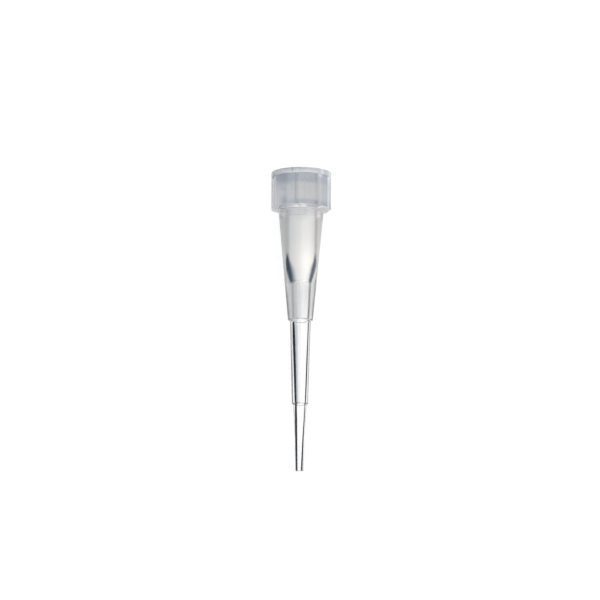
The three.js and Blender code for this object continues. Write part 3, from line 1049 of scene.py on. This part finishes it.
LEFT_LINE_STRENGTHS = (
    (STEM_TOP_HEIGHT - 0.00030, 1),
    (STEM_TOP_HEIGHT - 0.00016, 0.1),
    (STEM_TOP_HEIGHT + 0.0002, 0.3),
    (FUNNEL_FOOT_HEIGHT - 0.0001, 0.3),
    (FUNNEL_FOOT_HEIGHT + 0.0001, 0.92),
    (FUNNEL_FOOT_HEIGHT + 0.0008, 1),
    (SEAT_FOOT_HEIGHT - 0.0004, 1),
    (SEAT_FOOT_HEIGHT + 0.0002, 0.25),
    (OVERALL_LENGTH, 0.2),
)
RIGHT_LINE_STRENGTHS = (
    (STEM_TOP_HEIGHT - 0.00034, 1),
    (STEM_TOP_HEIGHT - 0.00016, 0.3),
    (STEM_TOP_HEIGHT + 0.0002, 0.75),
    (FUNNEL_FOOT_HEIGHT - 0.0015, 0.65),
    (FUNNEL_FOOT_HEIGHT - 0.0001, 0.55),
    (FUNNEL_FOOT_HEIGHT + 0.0001, 0.93),
    (SEAT_FOOT_HEIGHT - 0.0006, 0.91),
    (SEAT_FOOT_HEIGHT + 0.0002, 0.38),
    (OVERALL_LENGTH, 0.31),
)
LINE_FADE = 0.05
LINE_SHADE_BLACK = (0.008, 0.008, 0.010)
FUNNEL_LINE_SHADE = (0.006, 0.030, 0.060)
# The shades of the painted dark line, along the tip.
LINE_SHADES = (
    (STEM_TOP_HEIGHT, LINE_SHADE_BLACK),
    (FUNNEL_FOOT_HEIGHT, (0.034, 0.078, 0.125)),
    (FUNNEL_FOOT_HEIGHT + 0.0012, (0.027, 0.065, 0.105)),
    (FUNNEL_FOOT_HEIGHT + 0.0018, FUNNEL_LINE_SHADE),
    (SEAT_FOOT_HEIGHT, FUNNEL_LINE_SHADE),
    (LEDGE_HEIGHT, (0.13, 0.12, 0.16)),
)

right_strength = along_the_tip(height, RIGHT_LINE_STRENGTHS)
left_strength = along_the_tip(height, LEFT_LINE_STRENGTHS)
line_strength = blended("MIX", left, right_strength, left_strength)
right_limits = along_the_tip(height, RIGHT_LINE)
left_limits = along_the_tip(height, LEFT_LINE)
limits = tree.nodes.new("ShaderNodeSeparateColor")
feed(limits.inputs["Color"], blended("MIX", left, right_limits, left_limits))
starts, full, ends = limits.outputs

# The lower a side of the wall faces, the more nearly edge-on it has to be met before the line starts.
# That keeps the line as narrow in a view from the side as it is from above.
FUNNEL_START = (FUNNEL_FOOT_HEIGHT - 0.0001, FUNNEL_FOOT_HEIGHT + 0.0001)
LEAST_START = 0.37
LESS_IN_THE_FUNNEL = 0.07
LESS_FOR_FACING_UP = 0.53
UNDERNEATH = (-0.35, -0.15)
LEAST_RISE = 0.03

in_the_funnel = share_between(height, *FUNNEL_START)
least_start = calculated("SUBTRACT", LEAST_START, product(in_the_funnel, LESS_IN_THE_FUNNEL))
least_start = calculated("SUBTRACT", least_start, product(upness, LESS_FOR_FACING_UP))
least_start = product(least_start, share_between(upness, *UNDERNEATH))
starts = calculated("MAXIMUM", starts, least_start)
full = calculated("MAXIMUM", full, calculated("ADD", least_start, LEAST_RISE))
rise = share_between(facing, starts, full)
fall = share_between(calculated("SUBTRACT", facing, ends), 0, LINE_FADE)
line = calculated("MAXIMUM", calculated("SUBTRACT", rise, fall), 0)
dark_share = product(line, line_strength, met_from(tree, "plastic"))
finish_off(clouded, dark_share, along_the_tip(height, LINE_SHADES))

# Each face takes the finish of its place.
FACES_OUT = 0.05
FACES_ALONG = 0.9
HAIR = 1e-6
PAST_THE_WALL = 1e-5

for face in tip.data.polygons:
    from_point = face.center - open_point
    height = from_point.dot(axis)
    outwards = from_point - axis * height
    off_axis = outwards.length
    faces_out = face.normal.dot(outwards.normalized()) > FACES_OUT
    faces_along = abs(face.normal.dot(axis)) > FACES_ALONG
    past_wall = off_axis > MOUTH_RADIUS + PAST_THE_WALL
    on_collar = off_axis > MOUTH_RADIUS and (faces_out or faces_along or past_wall)
    if height > COLLAR_FOOT_HEIGHT - FOOT_FILLET - HAIR and on_collar:
        face.material_index = collar_slot
    elif height > STEM_TOP_HEIGHT - HAIR and (faces_out or faces_along and height < FUNNEL_FOOT_HEIGHT):
        face.material_index = body_slot
    elif faces_out or faces_along and height < STEM_TOP_HEIGHT:
        face.material_index = stem_slot
    else:
        face.material_index = bore_slot

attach(tip, "root")
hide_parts("pipette_tip")
